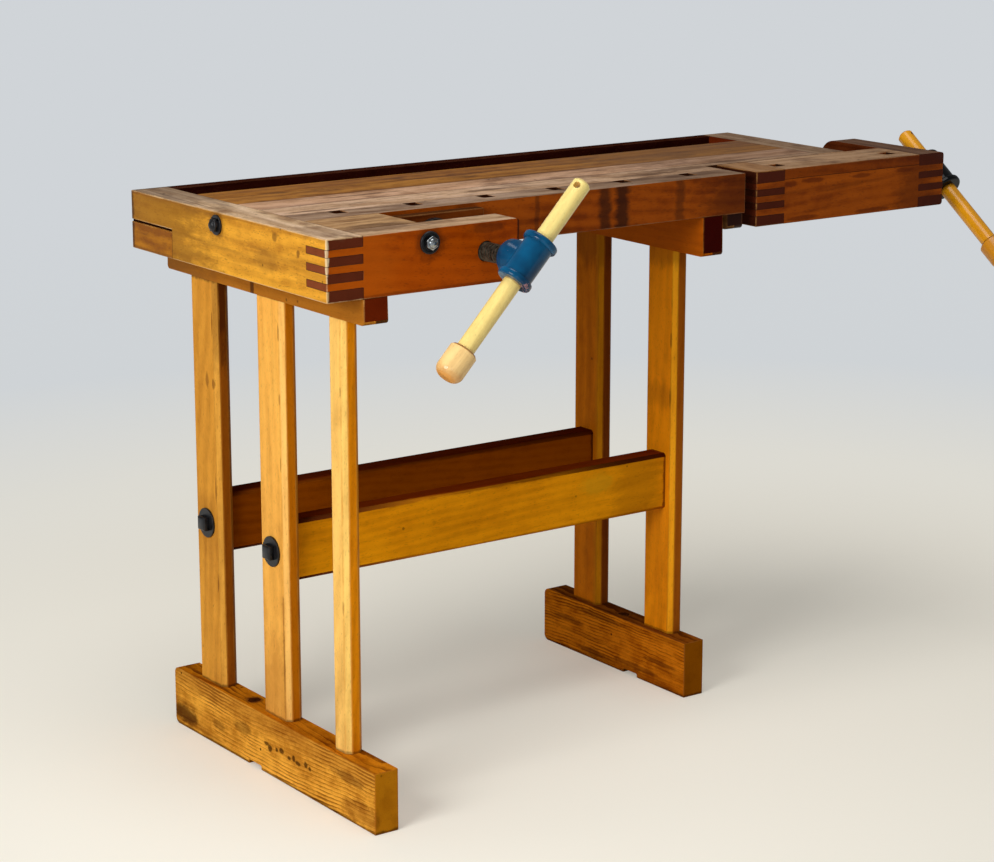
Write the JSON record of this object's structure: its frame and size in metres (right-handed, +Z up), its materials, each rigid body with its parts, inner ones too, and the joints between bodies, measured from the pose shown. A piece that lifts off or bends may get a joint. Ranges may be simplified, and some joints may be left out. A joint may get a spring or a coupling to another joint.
{
  "type": "woodworking bench with vises",
  "caption": "Small woodworking bench on two trestles with a shoulder vise, a tail vise, dog holes and a back tool tray; both vises slide as their screws turn.",
  "frame": {"origin": "on the floor under the middle of the whole bench, handles included", "axes": "+X along the bench from the shoulder vise to the tail vise, +Y from the front to the tray at the back, +Z up"},
  "size_m": [1.342, 0.65, 0.8827],
  "materials": {
    "top_beech": "worn and oiled, grey-brown",
    "end_beech": "satin oil varnish, red-brown",
    "tray_wood": "dark stain, satin",
    "leg_wood": "satin oil varnish, honey",
    "foot_softwood": "satin oil varnish on coarse pine",
    "pale_dowel": "clear lacquer, pale",
    "orange_dowel": "clear lacquer, amber",
    "blue_enamel": "glossy enamel over cast iron",
    "black_enamel": "glossy enamel over cast iron",
    "black_iron": "black, matt",
    "black_steel": "black oxide",
    "bright_steel": "zinc plated",
    "screw_steel": "oiled, dull grey"
  },
  "bodies": {
    "bench": {"front_beam": "top_beech", "main_slab": "top_beech", "tray_panel": "tray_wood", "tray_back_board": "tray_wood", "left_end_cap": "end_beech", "right_end_cap": "end_beech", "left_cap_filler": "end_beech", "right_cap_filler": "end_beech", "vise_arm": "end_beech", "arm_spacer": "end_beech", "fixed_jaw_block": "end_beech", "arm_tie_bolt": "bright_steel", "arm_tie_bolt_washer": "black_steel", "cap_bolts": "black_steel", "cap_bolt_washers": "black_steel", "top_cross_nuts": "bright_steel", "top_dowels": "leg_wood", "front_vise_nut": "black_iron", "tail_vise_runner": "leg_wood", "tail_vise_nut": "black_iron", "left_foot": "foot_softwood", "right_foot": "foot_softwood", "left_back_leg": "leg_wood", "left_middle_leg": "leg_wood", "left_front_leg": "leg_wood", "left_bearer": "leg_wood", "right_back_leg": "leg_wood", "right_front_leg": "leg_wood", "right_bearer": "leg_wood", "front_rail": "leg_wood", "back_rail": "leg_wood", "left_rail_bolts": "black_steel", "right_rail_bolts": "black_steel", "left_rail_washers": "black_steel", "right_rail_washers": "black_steel", "rail_cross_nuts": "bright_steel"},
    "front_jaw": {"front_vise_chop": "end_beech", "front_vise_swivel": "black_iron", "front_vise_swivel_pin": "bright_steel"},
    "front_screw": {"front_vise_screw": "screw_steel", "front_vise_tee": "blue_enamel"},
    "front_handle": {"front_vise_handle": "pale_dowel", "front_vise_handle_knob": "pale_dowel"},
    "tail_carriage": {"tail_vise_jaw_block": "end_beech", "tail_vise_front_board": "end_beech", "tail_vise_top_board": "top_beech", "tail_vise_end_block": "end_beech", "tail_vise_guide_bar": "leg_wood", "tail_vise_garter": "black_iron"},
    "tail_screw": {"tail_vise_screw": "screw_steel", "tail_vise_tee": "black_enamel"},
    "tail_handle": {"tail_vise_handle": "orange_dowel", "tail_vise_handle_knob": "orange_dowel"}
  },
  "joints": [
    {"name": "front_vise_slide", "type": "slide", "parent": "bench", "child": "front_jaw", "axis": [0, -1, 0], "range_m": [0, 0.058]},
    {"name": "front_vise_screw_turn", "type": "hinge", "parent": "front_jaw", "child": "front_screw", "pos_m": [-0.407, -0.3, 0.78], "axis": [0, -1, 0], "range_deg": [-10, 3490]},
    {"name": "front_handle_slide", "type": "slide", "parent": "front_screw", "child": "front_handle", "axis": [0.6858, 0, 0.7278], "range_m": [-0.085, 0.11]},
    {"name": "tail_vise_slide", "type": "slide", "parent": "bench", "child": "tail_carriage", "axis": [1, 0, 0], "range_m": [-0.0217, 0.12]},
    {"name": "tail_vise_screw_turn", "type": "hinge", "parent": "tail_carriage", "child": "tail_screw", "pos_m": [0.646, 0.015, 0.77], "axis": [1, 0, 0], "range_deg": [-1312, 7210]},
    {"name": "tail_handle_slide", "type": "slide", "parent": "tail_screw", "child": "tail_handle", "axis": [0, 0.8039, 0.5948], "range_m": [-0.048, 0.122]}
  ],
  "couplings": [
    {"joint": "front_vise_screw_turn", "follows": "front_vise_slide", "rad_per_m": 1047.2},
    {"joint": "tail_vise_screw_turn", "follows": "tail_vise_slide", "rad_per_m": 1047.2}
  ]
}
